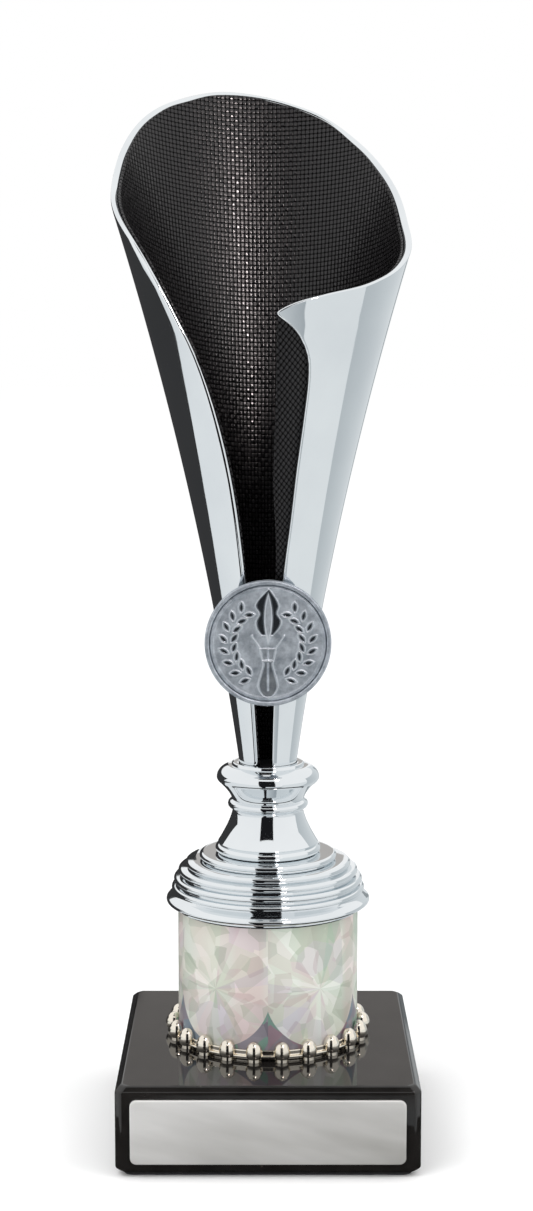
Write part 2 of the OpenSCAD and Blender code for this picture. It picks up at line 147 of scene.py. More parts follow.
def rounded(corners, radius, steps=4, closed=True):
    """A polyline with each corner swapped for a short curve that starts and ends one radius along
    its two sides, or 0.4 of a side if that is less, with a spare point beyond each end of the
    curve that keeps the flat parts flat. A corner sharper than 12 degrees of turn is rounded,
    and the others stay as points of a curve."""
    corners = np.asarray(corners, float)
    count = len(corners)
    made = []
    for i in range(count):
        here = corners[i]
        if not closed and i in (0, count - 1):
            made.append(here[None])
            continue
        back = corners[i - 1] - here
        ahead = corners[(i + 1) % count] - here
        long_back, long_ahead = np.linalg.norm(back), np.linalg.norm(ahead)
        turn = math.degrees(math.acos(np.clip(-back @ ahead / (long_back * long_ahead), -1, 1)))
        if turn < 12:
            made.append(here[None])
            continue
        a = here + back * min(radius / long_back, 0.4)
        b = here + ahead * min(radius / long_ahead, 0.4)
        t = np.linspace(0, 1, steps + 1)[:, None]
        curve = a * (1 - t) ** 2 + 2 * here * t * (1 - t) + b * t ** 2
        made.append(np.vstack([(a + (a - here) * 0.15)[None], curve, (b + (b - here) * 0.15)[None]]))
    return np.vstack(made)


# ---- Surfaces ----

def turned(profile, steps=160, closed=True):
    """A turned body: each profile point (radius, height) carried round the Z axis. A profile that
    runs anticlockwise, with its material on the left, gives faces that point outwards."""
    profile = np.asarray(profile, float)
    if closed:
        profile = np.vstack([profile, profile[:1]])
    angle = np.linspace(0, TURN, steps + 1)[:, None]
    radius, height = profile[None, :, 0], profile[None, :, 1]
    return np.stack([radius * np.cos(angle), radius * np.sin(angle), height + 0 * angle], -1)


def grid_faces(rows, columns, start=0):
    """Four-sided faces of a grid of points that are numbered row by row from the start."""
    index = start + np.arange(rows * columns).reshape(rows, columns)
    return np.stack([index[:-1, :-1], index[1:, :-1], index[1:, 1:], index[:-1, 1:]], -1).reshape(-1, 4)


def facing_front(points, back):
    """Stands a body made along +Z so that it faces the front, its back at that distance from the axis."""
    x, y, z = points[..., 0], points[..., 1], points[..., 2]
    return np.stack([x, -back - z, MEDAL_Z + y], -1)


def block_outline(width, depth, centre_y, cut, soft, sides=12):
    """Outline of a rectangle with cut and softened corners, anticlockwise from above, with points
    along each side, so that it can be joined to a circle of as many points."""
    x, y = width / 2, depth / 2
    corners = np.array([
        [x, -y + cut], [x, y - cut], [x - cut, y], [-x + cut, y],
        [-x, y - cut], [-x, -y + cut], [-x + cut, -y], [x - cut, -y],
    ])
    outline = rounded(corners, soft)
    closed = np.vstack([outline, outline[:1]])
    made = []
    for a, b in zip(closed[:-1], closed[1:]):
        count = sides if np.linalg.norm(b - a) > max(x, y) / 2 else 1
        t = np.arange(count)[:, None] / count
        made.append(a + (b - a) * t)
    made.append(closed[-1:])
    return np.vstack(made) + [0, centre_y]


def circle_like(outline, radius):
    """Circle with one point in the direction of each outline point from the axis."""
    angle = np.arctan2(outline[:, 1], outline[:, 0])
    return np.stack([radius * np.cos(angle), radius * np.sin(angle)], 1)


def cup_radius(z):
    """Outside radius of the cone at a height: a straight part and a squared part of the height share."""
    q = (z - CUP_Z) / CUP_H
    return CUP_FOOT_R + (CUP_MOUTH_R - CUP_FOOT_R) * ((1 - CUP_FLARE) * q + CUP_FLARE * q * q)


def on_cone(angle, z, inset):
    """Point of the cone at an angle in degrees from the front, at a height, inset along the radius."""
    radius = cup_radius(z) - inset
    turn = np.radians(angle)
    return np.stack([radius * np.sin(turn), -radius * np.cos(turn), z], -1)


def spaced(near, far, count):
    """Shares from 0 to 1: the near list, even steps, then 1 minus the far list."""
    middle = np.linspace(near[-1], 1 - far[-1], count + 2)[1:-1]
    return np.concatenate([near, middle, 1 - np.array(far)[::-1]])


def distance_to(points, path):
    """Distance of each point from a polyline: the least, over its segments, of the distance to the
    nearest point of the segment."""
    flat = points.reshape(-1, 3)
    least = np.full(len(flat), FAR)
    starts, along = path[:-1], np.diff(path, axis=0)
    for k in np.array_split(np.arange(len(starts)), 12):
        gap = flat[:, None] - starts[None, k]
        length2 = np.maximum((along[k] ** 2).sum(-1), 1e-12)
        share = np.clip((gap * along[None, k]).sum(-1) / length2, 0, 1)
        gap = gap - share[..., None] * along[None, k]
        least = np.minimum(least, np.sqrt((gap ** 2).sum(-1)).min(-1))
    return least.reshape(points.shape[:-1])


def rolled_sheet(edge, drop, floor_z, end_angle, inset, thick, far_roll, ragged=0.0):
    """Closed sheet on the cone. Columns are angles from the tip round to the far edge, rows are
    heights from the floor to the rim, both crowded at the border. The near edge moves the first
    columns along the edge curve, and a hyperbola blunts the tip. The two faces stand half a
    thickness from the middle of the wall, and near the border that half thickness falls along a
    quarter of an ellipse of the distance from the border, so that the lip is round. The ellipse
    widens from the near edge to the far one, where the wall thins over the far roll."""
    half = thick / 2
    tip_z = CUP_Z + CUP_H * TIP_SHARE - drop
    tip_r = cup_radius(tip_z)
    nose = math.degrees(NOSE / tip_r)
    first = TIP_ANGLE + nose
    near_columns = [0, 0.0005, 0.0014, 0.0028, 0.0046, 0.007, 0.010, 0.014, 0.019, 0.025]
    far_columns = [0, 0.0006, 0.0016, 0.003, 0.0048, 0.007, 0.010, 0.0135, 0.018, 0.024, 0.031]
    column = spaced(near_columns, far_columns, 132)
    angle = first + (end_angle - first) * column
    from_tip = np.maximum((angle - TIP_ANGLE) / nose, 1)
    blunt = np.sqrt(1 - 1 / from_tip ** 2)
    rim = smooth(RIM_CURVE, angle)
    rim = TIP_SHARE + (rim - TIP_SHARE) * np.where(angle < 25, blunt, 1)
    top = CUP_Z + CUP_H * rim - drop
    top = top - ragged * (1 + np.sin(angle * 0.31) * np.sin(angle * 0.13))
    slope = np.gradient(top, angle) / (np.radians(1) * cup_radius(top))
    stretch = np.minimum(np.sqrt(1 + slope ** 2), 6)
    near_roll = 0.3
    roll = near_roll + (far_roll - near_roll) * column ** 1.5
    band = np.array([1.7, 1.3, 1.0, 0.78, 0.58, 0.42, 0.28, 0.17, 0.08, 0.025, 0])
    band = band[:, None] * np.maximum(roll, 0.4)
    low_rows = np.linspace(0, 1, 56)[:-1, None]
    band_z = top - band * stretch
    z = np.vstack([floor_z + (band_z[0] - floor_z) * low_rows, band_z]).T
    share = np.clip(TIP_SHARE * (z - floor_z) / (tip_z - floor_z), 0, TIP_SHARE)
    raw = np.radians(smooth(edge, share) - TIP_ANGLE) * tip_r
    near_edge = TIP_ANGLE + np.degrees(np.sqrt(raw ** 2 + NOSE ** 2) / tip_r)
    turn = angle[:, None] + (near_edge - first) * ((1 - column) ** 6)[:, None]
    middle = on_cone(turn, z, inset + half)
    away = distance_to(middle, np.vstack([middle[0], middle[:, -1], middle[-1][::-1]]))
    away[0] = away[-1] = away[:, -1] = 0
    lift = half * np.sqrt(1 - (1 - np.minimum(away / roll[:, None], 1)) ** 2)
    outer = on_cone(turn, z, inset + half - lift)
    inner = on_cone(turn, z, inset + half + lift)
    flat = developed(turn, z)
    floor = np.stack([inner[:, 0], outer[:, 0]], 1)
    floor_flat = np.stack([flat[:, 0], flat[:, 0]], 1)
    return [(outer, flat), (inner[::-1], flat[::-1]), (floor, floor_flat)]


def developed(angle, z):
    """Flat pattern of the cone, in millimetres: the sheet unrolled about its apex, square to the
    threads at the back. Distance from the apex and the turn, times the cone's own sine, give it."""
    cone_sine = 0.235
    apex_distance = CUP_FOOT_R / cone_sine + (z - CUP_Z) / math.sqrt(1 - cone_sine ** 2)
    turn = np.radians(angle - 180) * cone_sine
    return np.stack([apex_distance * np.sin(turn), -apex_distance * np.cos(turn)], -1)


# ---- Pieces ----


def piece(name, material, patches, replaces, sharp=38, painted_light_tone=None):
    """Makes one piece from patches, each a grid of points in millimetres or a pair of that grid and
    its flat coordinates. Each grid cell becomes a four-sided face, points that meet are merged and
    the faces are turned outwards. The painted light tone is a list of grids of shares, painted
    highlight and painted shade, kept as an attribute."""
    points, faces, flats, tones, start = [], [], [], [], 0
    for k, patch in enumerate(patches):
        grid, flat = patch if isinstance(patch, tuple) else (patch, None)
        rows, columns = grid.shape[:2]
        faces.append(grid_faces(rows, columns, start))
        points.append(grid.reshape(-1, 3))
        flats.append((flat if flat is not None else grid[..., :2]).reshape(-1, 2))
        tones.append((painted_light_tone[k] if painted_light_tone is not None else np.zeros((rows, columns))).reshape(-1))
        start += rows * columns
    points = np.vstack(points) * MM
    faces = np.vstack(faces)
    mesh = bpy.data.meshes.new(name)
    mesh.from_pydata(points.tolist(), [], faces.tolist())
    layer = mesh.uv_layers.new(name="flat")
    layer.data.foreach_set("uv", np.vstack(flats)[faces.reshape(-1)].astype(np.float32).ravel())
    if painted_light_tone is not None:
        relief = mesh.attributes.new("relief", "FLOAT", "POINT")
        relief.data.foreach_set("value", np.concatenate(tones).astype(np.float32))
    work = bmesh.new()
    work.from_mesh(mesh)
    bmesh.ops.remove_doubles(work, verts=work.verts, dist=2e-6)
    bmesh.ops.dissolve_degenerate(work, edges=work.edges, dist=1e-7)
    bmesh.ops.recalc_face_normals(work, faces=work.faces)
    work.to_mesh(mesh)
    work.free()
    mesh.shade_smooth()
    mesh.set_sharp_from_angle(angle=math.radians(sharp))
    mesh.materials.append(material)
    obj = bpy.data.objects.new(name, mesh)
    bpy.context.scene.collection.objects.link(obj)
    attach(obj, "root")
    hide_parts(replaces)


# ---- Materials ----

def linear(code):
    """sRGB hex code to linear colour."""
    parts = [int(code[i:i + 2], 16) / 255 for i in (1, 3, 5)]
    return tuple(c / 12.92 if c <= 0.04045 else ((c + 0.055) / 1.055) ** 2.4 for c in parts) + (1.0,)


def set_stops(ramp, stops):
    """Sets a colour ramp: a list of hex colours makes even flat steps, and a list of pairs of a
    place and a hex colour blends from each to the next."""
    if isinstance(stops[0], str):
        ramp.interpolation = "CONSTANT"
        stops = [(i / len(stops), code) for i, code in enumerate(stops)]
    while len(ramp.elements) < len(stops):
        ramp.elements.new(0.5)
    for i, (place, code) in enumerate(stops):
        ramp.elements[i].position = place
        ramp.elements[i].color = linear(code)


def add(tree, kind, inputs=None, stops=None, **settings):
    """Adds one node: settings are its properties, inputs are sockets by name or number, each a
    value or the output socket of another node, and stops are a colour ramp's colours."""
    node = tree.nodes.new(kind)
    for key, value in settings.items():
        setattr(node, key, value)
    for key, value in (inputs or {}).items():
        socket = node.inputs[key]
        if isinstance(value, bpy.types.NodeSocket):
            tree.links.new(value, socket)
        else:
            socket.default_value = value
    if stops:
        set_stops(node.color_ramp, stops)
    return node


def new_material(name):
    """Empty material and its node tree."""
    material = bpy.data.materials.new(name)
    material.use_nodes = True
    material.node_tree.nodes.clear()
    return material, material.node_tree


def finished(material, inputs):
    """Gives the material its Principled shader with those inputs, on its output."""
    shader = add(material.node_tree, "ShaderNodeBsdfPrincipled", inputs)
    add(material.node_tree, "ShaderNodeOutputMaterial", {"Surface": shader.outputs["BSDF"]})
    return material


def plated_plastic(name, light, dark, smooth_rough, dull_rough):
    """Metal-plated ABS: a mirror of the given two near tints, with the faint waviness of moulded
    plastic under the plating and thin handling smudges that dull it in places."""
    material, tree = new_material(name)
    place = add(tree, "ShaderNodeTexCoord").outputs["Object"]
    smudge = add(tree, "ShaderNodeTexNoise", {"Vector": place, "Scale": 1 / (14 * MM), "Detail": 4.0})
    tint = add(tree, "ShaderNodeValToRGB", {"Fac": smudge.outputs["Fac"]}, [(0.3, light), (0.8, dark)])
    rough = add(tree, "ShaderNodeMapRange", {
        "Value": smudge.outputs["Fac"], "From Min": 0.35, "From Max": 0.75,
        "To Min": smooth_rough, "To Max": dull_rough})
    ripple = add(tree, "ShaderNodeTexNoise", {"Vector": place, "Scale": 1 / (9 * MM), "Detail": 1.0})
    bump = add(tree, "ShaderNodeBump", {
        "Height": ripple.outputs["Fac"], "Strength": 0.25, "Distance": 0.10 * MM})
    return finished(material, {
        "Base Color": tint.outputs["Color"], "Roughness": rough.outputs["Result"],
        "Normal": bump.outputs["Normal"], "Metallic": 1.0})


def polished_marble():
    """Black polished marble: a mirror-like dielectric over a warm black with faint cloudy
    mottling and sparse small pale grains, and thin polishing haze."""
    material, tree = new_material("black_polished_marble")
    place = add(tree, "ShaderNodeTexCoord").outputs["Object"]
    cloud = add(tree, "ShaderNodeTexNoise", {
        "Vector": place, "Scale": 1 / (7 * MM), "Detail": 8.0, "Roughness": 0.62})
    colour = add(tree, "ShaderNodeValToRGB", {"Fac": cloud.outputs["Fac"]},
                 [(0.35, "#151413"), (0.72, "#22201f")])
    grain = add(tree, "ShaderNodeTexVoronoi", {"Vector": place, "Scale": 1 / (3.2 * MM)})
    speck = add(tree, "ShaderNodeMapRange", {
        "Value": grain.outputs["Distance"], "From Min": 0.05, "From Max": 0.075,
        "To Min": 0.5, "To Max": 0.0})
    mixed = add(tree, "ShaderNodeMix", {
        "Factor": speck.outputs["Result"], "A": colour.outputs["Color"], "B": linear("#4b4843")},
        data_type="RGBA")
    haze = add(tree, "ShaderNodeMapRange", {
        "Value": cloud.outputs["Fac"], "From Min": 0.3, "From Max": 0.8,
        "To Min": 0.03, "To Max": 0.085})
    return finished(material, {
        "Base Color": mixed.outputs["Result"], "Roughness": haze.outputs["Result"], "IOR": 1.49})


def satin_aluminium():
    """Satin silver coated aluminium plate: painted brighter towards its upper left as a painted
    sheen, with broad soft streaks that fall gently to the right and a fine grain."""
    material, tree = new_material("satin_aluminium_plate")
    place = add(tree, "ShaderNodeTexCoord").outputs["Object"]
    slanted = add(tree, "ShaderNodeMapping", {
        "Vector": place, "Rotation": (0.0, math.radians(14), 0.0), "Scale": (1.0, 1.0, 0.2)},
        vector_type="TEXTURE")
    streak = add(tree, "ShaderNodeTexNoise", {
        "Vector": slanted.outputs["Vector"], "Scale": 1 / (34 * MM), "Detail": 3.0, "Roughness": 0.5})
    # Painted sheen: the colour brightens towards the upper left.
    slope = add(tree, "ShaderNodeVectorMath", {0: place, 1: (-7.5, 0.0, 22.0)},
                operation="DOT_PRODUCT")
    level = add(tree, "ShaderNodeMath", {0: streak.outputs["Fac"], 1: slope.outputs["Value"]},
                operation="ADD")
    colour = add(tree, "ShaderNodeValToRGB", {"Fac": level.outputs[0]},
                 [(0.35, "#bebdb9"), (1.0, "#ecebe9")])
    fine = add(tree, "ShaderNodeTexNoise", {"Vector": place, "Scale": 1 / (0.35 * MM), "Detail": 2.0})
    bump = add(tree, "ShaderNodeBump", {
        "Height": fine.outputs["Fac"], "Strength": 0.12, "Distance": 0.03 * MM})
    return finished(material, {
        "Base Color": colour.outputs["Color"], "Normal": bump.outputs["Normal"],
        "Metallic": 0.5, "Roughness": 0.5})


def black_felt():
    """Black wool felt: matted fibres that catch a little light at a slant."""
    material, tree = new_material("black_felt")
    place = add(tree, "ShaderNodeTexCoord").outputs["Object"]
    fibre = add(tree, "ShaderNodeTexNoise", {"Vector": place, "Scale": 1 / (0.8 * MM), "Detail": 8.0})
    colour = add(tree, "ShaderNodeValToRGB", {"Fac": fibre.outputs["Fac"]},
                 [(0.0, "#101012"), (1.0, "#333337")])
    bump = add(tree, "ShaderNodeBump", {
        "Height": fibre.outputs["Fac"], "Strength": 0.8, "Distance": 0.3 * MM})
    return finished(material, {
        "Base Color": colour.outputs["Color"], "Normal": bump.outputs["Normal"], "Roughness": 0.95,
        "Sheen Weight": 0.4, "Sheen Roughness": 0.5})


BURST_PITCH = 22.6
BURST_R = 11.9


def prismatic_film():
    """Embossed prismatic film: starbursts a fixed pitch apart, each cut by straight spokes into
    wedges and by slivers that lie along them, and the whole crossed by straight-sided chips. Each
    has a pale grey-green, rose or lilac tint and wedge and chip a small tilt, a slow change of
    hue runs round the column, and the gaps below the bursts are darker and stronger in colour."""
    material, tree = new_material("prismatic_film")
    flat = add(tree, "ShaderNodeUVMap", uv_map="flat").outputs["UV"]
    axes = add(tree, "ShaderNodeSeparateXYZ", {"Vector": flat})
    around, up = axes.outputs["X"], axes.outputs["Y"]
    wrapped = add(tree, "ShaderNodeMath", {0: around, 1: BURST_PITCH, 2: 0.0}, operation="WRAP")
    across = add(tree, "ShaderNodeMath", {0: wrapped.outputs[0], 1: BURST_PITCH / 2},
                 operation="SUBTRACT")
    cell = add(tree, "ShaderNodeMath", {0: around, 1: BURST_PITCH}, operation="DIVIDE")
    cell = add(tree, "ShaderNodeMath", {0: cell.outputs[0]}, operation="FLOOR")
    own = add(tree, "ShaderNodeMath", {0: cell.outputs[0], 1: 7.31}, operation="MULTIPLY")
    angle = add(tree, "ShaderNodeMath", {0: up, 1: across.outputs[0]}, operation="ARCTAN2")
    spoke = add(tree, "ShaderNodeMath", {0: angle.outputs[0], 1: 2.7, 2: own.outputs[0]},
                operation="MULTIPLY_ADD")
    centred = add(tree, "ShaderNodeCombineXYZ", {"X": across.outputs[0], "Y": up})
    radius = add(tree, "ShaderNodeVectorMath", {0: centred.outputs[0]}, operation="LENGTH")
    outwards = add(tree, "ShaderNodeMath", {0: radius.outputs["Value"], 1: 5.0}, operation="DIVIDE")
    polar = add(tree, "ShaderNodeCombineXYZ", {"X": spoke.outputs[0], "Y": outwards.outputs[0]})
    wedge = add(tree, "ShaderNodeTexVoronoi", {"W": spoke.outputs[0], "Scale": 1.0, "Randomness": 0.8},
                voronoi_dimensions="1D")
    chip = add(tree, "ShaderNodeTexVoronoi", {"Vector": flat, "Scale": 1 / 5.6, "Randomness": 1.0})
    sliver = add(tree, "ShaderNodeTexVoronoi", {
        "Vector": polar.outputs[0], "Scale": 1.3, "Randomness": 1.0})
    wedge_share = add(tree, "ShaderNodeSeparateColor", {"Color": wedge.outputs["Color"]})
    chip_share = add(tree, "ShaderNodeSeparateColor", {"Color": chip.outputs["Color"]})
    sliver_share = add(tree, "ShaderNodeSeparateColor", {"Color": sliver.outputs["Color"]})
    slow = add(tree, "ShaderNodeTexNoise", {"W": around, "Scale": 1 / 9.0, "Detail": 0.0},
               noise_dimensions="1D")
    tints = [
        (wedge_share.outputs["Red"], ["#e8e9e2", "#e1e6de", "#e9e4e2", "#e6e9e4",
                                      "#f0f2ec", "#e5e3e6", "#dce6dc", "#ebe8e3"]),
        (chip_share.outputs["Red"], ["#f4f5f1", "#eaeee8", "#ffffff", "#f3edee",
                                     "#e9ece8", "#fbfbf9", "#edebf0"]),
        (sliver_share.outputs["Green"], ["#ffffff", "#f4f6f2", "#e7ece6", "#ffffff",
                                         "#f2ebed", "#ffffff", "#f4f5f1", "#e4e8e3"]),
        (slow.outputs["Fac"], [(0.36, "#f3e6e7"), (0.58, "#f2f4f1")]),
    ]
    pale = linear("#ffffff")
    for share, stops in tints:
        tint = add(tree, "ShaderNodeValToRGB", {"Fac": share}, stops)
        pale = add(tree, "ShaderNodeMix", {"Factor": 1.0, "A": pale, "B": tint.outputs["Color"]},
                   data_type="RGBA", blend_type="MULTIPLY").outputs["Result"]
    strong = add(tree, "ShaderNodeValToRGB", {"Fac": sliver_share.outputs["Red"]}, [
        "#857f88", "#77958a", "#8c8790", "#917c86", "#7d8a96", "#88838c", "#77727c"])
    outside = add(tree, "ShaderNodeMath", {0: radius.outputs["Value"], 1: BURST_R},
                  operation="GREATER_THAN")
    below = add(tree, "ShaderNodeMath", {0: up, 1: 0.0}, operation="LESS_THAN")
    gap = add(tree, "ShaderNodeMath", {0: outside.outputs[0], 1: below.outputs[0]},
              operation="MULTIPLY")
    colour = add(tree, "ShaderNodeMix", {
        "Factor": gap.outputs[0], "A": pale, "B": strong.outputs["Color"]}, data_type="RGBA")
    tilt = add(tree, "ShaderNodeVectorMath", {0: wedge.outputs["Color"], 1: chip.outputs["Color"]},
               operation="ADD")
    tilt = add(tree, "ShaderNodeVectorMath", {0: tilt.outputs[0], 1: (1.0, 1.0, 1.0)},
               operation="SUBTRACT")
    tilt = add(tree, "ShaderNodeVectorMath", {0: tilt.outputs[0], "Scale": 0.10}, operation="SCALE")
    facing = add(tree, "ShaderNodeNewGeometry")
    normal = add(tree, "ShaderNodeVectorMath", {0: facing.outputs["Normal"], 1: tilt.outputs[0]},
                 operation="ADD")
    normal = add(tree, "ShaderNodeVectorMath", {0: normal.outputs[0]}, operation="NORMALIZE")
    return finished(material, {
        "Base Color": colour.outputs["Result"], "Normal": normal.outputs[0],
        "Metallic": 0.15, "Roughness": 0.34, "IOR": 1.5})


THREAD_PITCH = 0.98


def woven_liner():
    """Plain-woven glossy black liner: over-and-under threads one pitch wide, each a flat-topped
    pillow that dips at its ends. Its colour darkens from the thread tops down into the gaps as
    painted shade, and the gaps, too deep to catch light, are given a black metal's look, which
    mirrors almost nothing, as painted shade. The threads that run up the cup are glossier than
    those across, and each float is a little more or less glossy."""
    material, tree = new_material("black_woven_liner")
    flat = add(tree, "ShaderNodeUVMap", uv_map="flat").outputs["UV"]
    place = add(tree, "ShaderNodeVectorMath", {0: flat, "Scale": 1 / THREAD_PITCH}, operation="SCALE")
    cell = add(tree, "ShaderNodeVectorMath", {0: place.outputs[0]}, operation="FLOOR")
    within = add(tree, "ShaderNodeVectorMath", {0: place.outputs[0]}, operation="FRACTION")
    within = add(tree, "ShaderNodeVectorMath", {0: within.outputs[0], 1: (2, 2, 0), 2: (-1, -1, 0)},
                 operation="MULTIPLY_ADD")
    within = add(tree, "ShaderNodeSeparateXYZ", {"Vector": within.outputs[0]})
    cells = add(tree, "ShaderNodeSeparateXYZ", {"Vector": cell.outputs[0]})
    order = add(tree, "ShaderNodeMath", {0: cells.outputs["X"], 1: cells.outputs["Y"]},
                operation="ADD")
    order = add(tree, "ShaderNodeMath", {0: order.outputs[0], 1: 2.0}, operation="FLOORED_MODULO")
    wide = add(tree, "ShaderNodeMix", {
        "Factor": order.outputs[0], "A": within.outputs["X"], "B": within.outputs["Y"]})
    long = add(tree, "ShaderNodeMix", {
        "Factor": order.outputs[0], "A": within.outputs["Y"], "B": within.outputs["X"]})
    wide4 = add(tree, "ShaderNodeMath", {0: wide.outputs[0], 1: 4.0}, operation="POWER")
    long2 = add(tree, "ShaderNodeMath", {0: long.outputs[0], 1: long.outputs[0]},
                operation="MULTIPLY")
    pillow = add(tree, "ShaderNodeMath", {0: 1.0, 1: wide4.outputs[0]}, operation="SUBTRACT")
    dip = add(tree, "ShaderNodeMath", {0: long2.outputs[0], 1: -0.7, 2: 1.0}, operation="MULTIPLY_ADD")
    height = add(tree, "ShaderNodeMath", {0: pillow.outputs[0], 1: dip.outputs[0]},
                 operation="MULTIPLY")
    bump = add(tree, "ShaderNodeBump", {
        "Height": height.outputs[0], "Strength": 1.0, "Distance": 0.065 * MM})
    # Painted shade: the colour darkens from the thread tops down into the gaps.
    shade = add(tree, "ShaderNodeValToRGB", {"Fac": height.outputs[0]},
                [(0.15, "#030303"), (0.8, "#171517")])
    uneven = add(tree, "ShaderNodeTexWhiteNoise", {"Vector": cell.outputs[0]}, noise_dimensions="3D")
    rough = add(tree, "ShaderNodeMapRange", {
        "Value": uneven.outputs["Value"], "To Min": 0.1, "To Max": 0.33})
    rough = add(tree, "ShaderNodeMath", {0: order.outputs[0], 1: 0.14, 2: rough.outputs["Result"]},
                operation="MULTIPLY_ADD")
    # Painted shade: the low parts of the weave turn into black metal, which mirrors almost nothing.
    gap = add(tree, "ShaderNodeMapRange", {
        "Value": height.outputs[0], "From Min": 0.25, "From Max": 0.8, "To Min": 1.0, "To Max": 0.0})
    return finished(material, {
        "Base Color": shade.outputs["Color"], "Metallic": gap.outputs["Result"],
        "Roughness": rough.outputs[0], "Normal": bump.outputs["Normal"], "IOR": 1.5})


def medal_metal(name, with_relief):
    """Die-cast zinc with a dull silver plating: a blue-grey, slightly cloudy ground, with raised lines
    painted brighter as a painted highlight and recesses painted dark and glossy as painted shade."""
    material, tree = new_material(name)
    place = add(tree, "ShaderNodeTexCoord").outputs["Object"]
    cloud = add(tree, "ShaderNodeTexNoise", {
        "Vector": place, "Scale": 1 / (3 * MM), "Detail": 7.0, "Roughness": 0.7})
    ground = add(tree, "ShaderNodeValToRGB", {"Fac": cloud.outputs["Fac"]},
                 [(0.36, "#959da6"), (0.64, "#cdd4db")])
    colour = ground.outputs["Color"]
    rough = add(tree, "ShaderNodeMapRange", {
        "Value": cloud.outputs["Fac"], "From Min": 0.3, "From Max": 0.7,
        "To Min": 0.48, "To Max": 0.58}).outputs["Result"]
    if with_relief:
        # Painted highlight on the raised lines and painted shade in the recesses, from the relief
        # attribute.
        relief = add(tree, "ShaderNodeAttribute", attribute_name="relief").outputs["Fac"]
        raised_painted_highlight = add(tree, "ShaderNodeMapRange", {"Value": relief, "From Min": 0.15, "From Max": 0.75})
        sunk = add(tree, "ShaderNodeMapRange", {"Value": relief, "From Min": -0.1, "From Max": -0.7})
        with_painted_highlight = add(tree, "ShaderNodeMix", {
            "Factor": raised_painted_highlight.outputs["Result"], "A": colour, "B": linear("#ccd1d6")},
            data_type="RGBA")
        colour = add(tree, "ShaderNodeMix", {
            "Factor": sunk.outputs["Result"], "A": with_painted_highlight.outputs["Result"],
            "B": linear("#565b61")}, data_type="RGBA").outputs["Result"]
        rough = add(tree, "ShaderNodeMix", {
            "Factor": sunk.outputs["Result"], "A": rough, "B": 0.14}).outputs[0]
    fine = add(tree, "ShaderNodeTexNoise", {"Vector": place, "Scale": 1 / (0.6 * MM), "Detail": 3.0})
    bump = add(tree, "ShaderNodeBump", {
        "Height": fine.outputs["Fac"], "Strength": 0.2, "Distance": 0.05 * MM})
    return finished(material, {
        "Base Color": colour, "Roughness": rough, "Normal": bump.outputs["Normal"],
        "Metallic": 0.85})


def plain(name, dark, light, grain, finish):
    """A simple moulded, rolled or plated finish: two near colours in a cloudy grain of the given
    size and a matching faint bump. The finish holds the shader's other inputs."""
    material, tree = new_material(name)
    place = add(tree, "ShaderNodeTexCoord").outputs["Object"]
    cloud = add(tree, "ShaderNodeTexNoise", {"Vector": place, "Scale": 1 / (grain * MM), "Detail": 5.0})
    colour = add(tree, "ShaderNodeValToRGB", {"Fac": cloud.outputs["Fac"]}, [(0.3, dark), (0.7, light)])
    bump = add(tree, "ShaderNodeBump", {
        "Height": cloud.outputs["Fac"], "Strength": 0.15, "Distance": 0.05 * MM})
    return finished(material, {
        "Base Color": colour.outputs["Color"], "Normal": bump.outputs["Normal"], **finish})


# Vacuum-chromed ABS: a clear mirror, a little blue
CHROME = plated_plastic("chromed_abs", "#e9edef", "#e1e5e8", 0.025, 0.075)
# Nickelled ABS: warmer and a little duller than the chrome
NICKEL = plated_plastic("nickelled_abs", "#f3ecdf", "#e4dccd", 0.10, 0.20)
MARBLE = polished_marble()
PLATE = satin_aluminium()
FELT = black_felt()
FILM = prismatic_film()
LINER = woven_liner()
MEDAL = medal_metal("plated_zinc_relief", True)
HOLDER = medal_metal("plated_zinc_holder", False)
# Zinc-plated steel: pale, slightly yellow and satin
ZINC = plain("zinc_plated_steel", "#a9a79c", "#c9c7bc", 1.5, {"Roughness": 0.32, "Metallic": 1.0})
# Double-sided foam tape: cream and matt
TAPE = plain("foam_tape", "#d8d2bf", "#e8e3d3", 0.8, {"Roughness": 0.85, "IOR": 1.5})
# Polystyrene tube: white and glossy
TUBE = plain("white_polystyrene", "#dcd8cf", "#e8e5de", 5.0, {"Roughness": 0.25, "IOR": 1.59})
# Moulded black polypropylene plug
PLUG = plain("black_polypropylene", "#19191b", "#2a2a2d", 1.2, {"Roughness": 0.5, "IOR": 1.49})


# ---- Base ----

def make_base_block():
    """Polished block with chamfered, slightly worn edges: its cut-corner outline carried up a
    chamfered side, in across the top to the rod hole, down to the recess and back underneath."""
    low, high = BLOCK_LOW, BLOCK_HIGH
    width, depth = high[0] - low[0], high[1] - low[1]
    centre_y = (high[1] + low[1]) / 2
    chamfer, soft, flat_inset = 1.1, 0.35, 6.0
    recess_r, recess_top = 10.0, low[2] + 8.0
    side = rounded([
        [flat_inset, low[2]], [chamfer, low[2]], [0.0, low[2] + chamfer],
        [0.0, high[2] - chamfer], [chamfer, high[2]], [flat_inset, high[2]]], soft, closed=False)
    loops = []
    for inset, z in side:
        outline = block_outline(width - 2 * inset, depth - 2 * inset, centre_y, chamfer, soft)
        loops.append(np.column_stack([outline, np.full(len(outline), z)]))
    outline = loops[-1][:, :2]
    for radius, z in [(ROD_HOLE_R, high[2]), (ROD_HOLE_R, recess_top),
                      (recess_r, recess_top), (recess_r, low[2])]:
        ring = circle_like(outline, radius)
        loops.append(np.column_stack([ring, np.full(len(ring), z)]))
    loops.append(loops[0])
    piece("base_block_polished", MARBLE, [np.array(loops).transpose(1, 0, 2)], "base_block", sharp=50)


